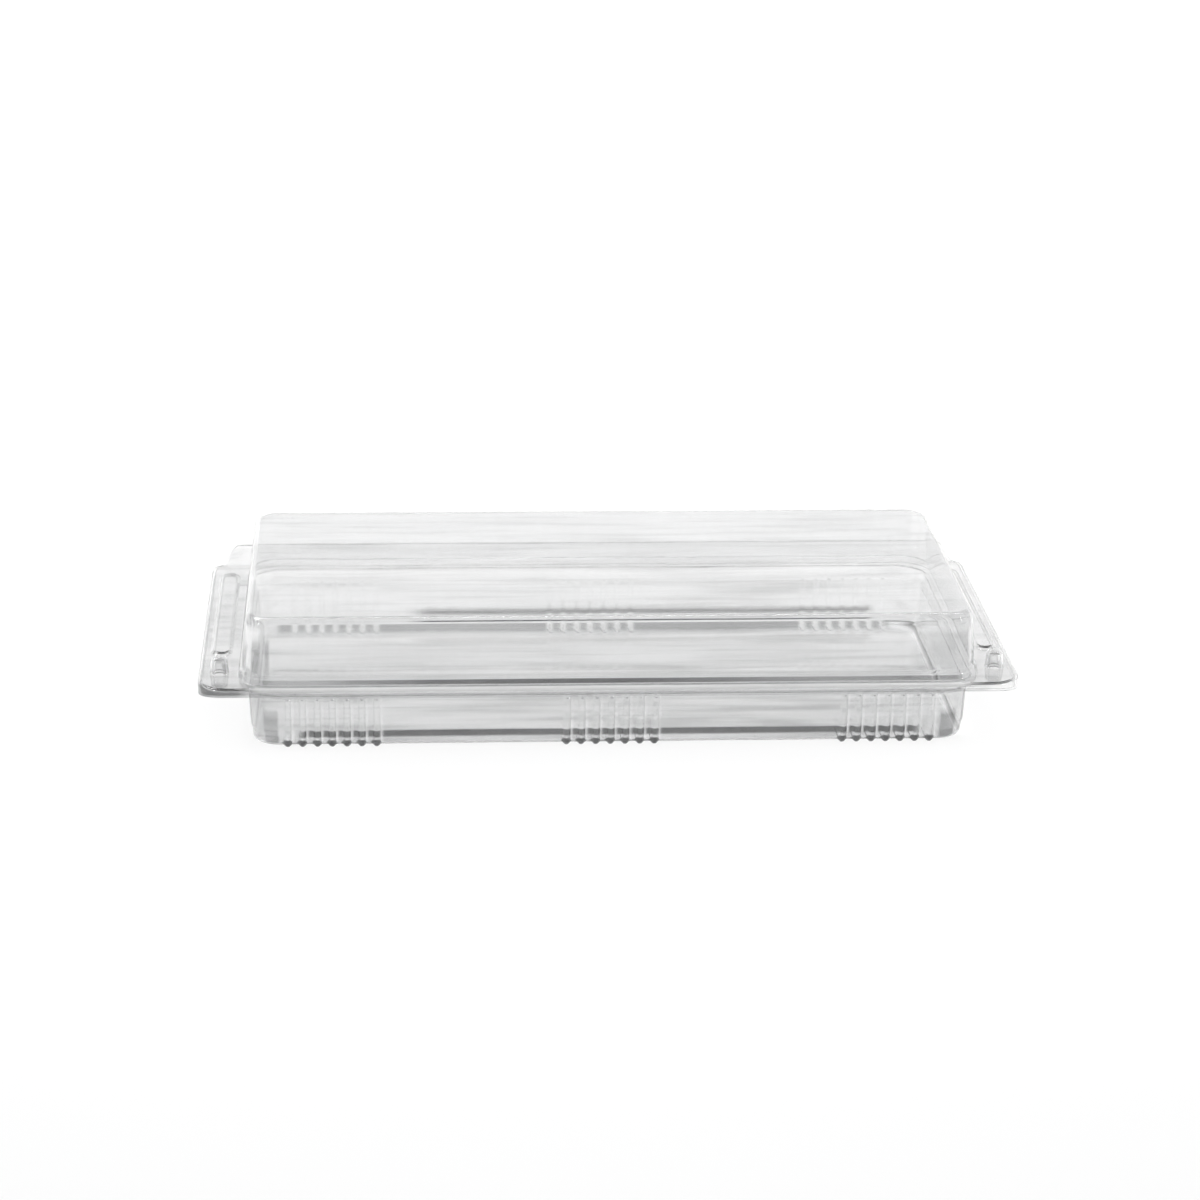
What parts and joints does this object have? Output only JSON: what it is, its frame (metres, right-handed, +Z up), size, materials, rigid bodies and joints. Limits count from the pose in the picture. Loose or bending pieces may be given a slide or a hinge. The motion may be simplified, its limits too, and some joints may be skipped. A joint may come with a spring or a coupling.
{
  "type": "hinged clear sweet box",
  "caption": "Long shallow clear box with a ribbed tray and a plain domed lid on a fold along the back, with end wings and press studs.",
  "frame": {"origin": "middle of the underside, on the plane of the feet that the ribs make under the floor", "axes": "+X runs along the box, +Y from the front lip to the fold at the back, +Z up"},
  "size_m": [0.2684, 0.1246, 0.045],
  "materials": {
    "clear_sheet": "thin clear glossy sheet"
  },
  "bodies": {
    "tray": {"base_tray": "clear_sheet"},
    "cover": {"lid": "clear_sheet"}
  },
  "joints": [
    {"name": "lid_hinge", "type": "hinge", "parent": "tray", "child": "cover", "pos_m": [0, 0.0617, 0.0308], "axis": [-1, 0, 0], "range_deg": [0, 180]}
  ]
}
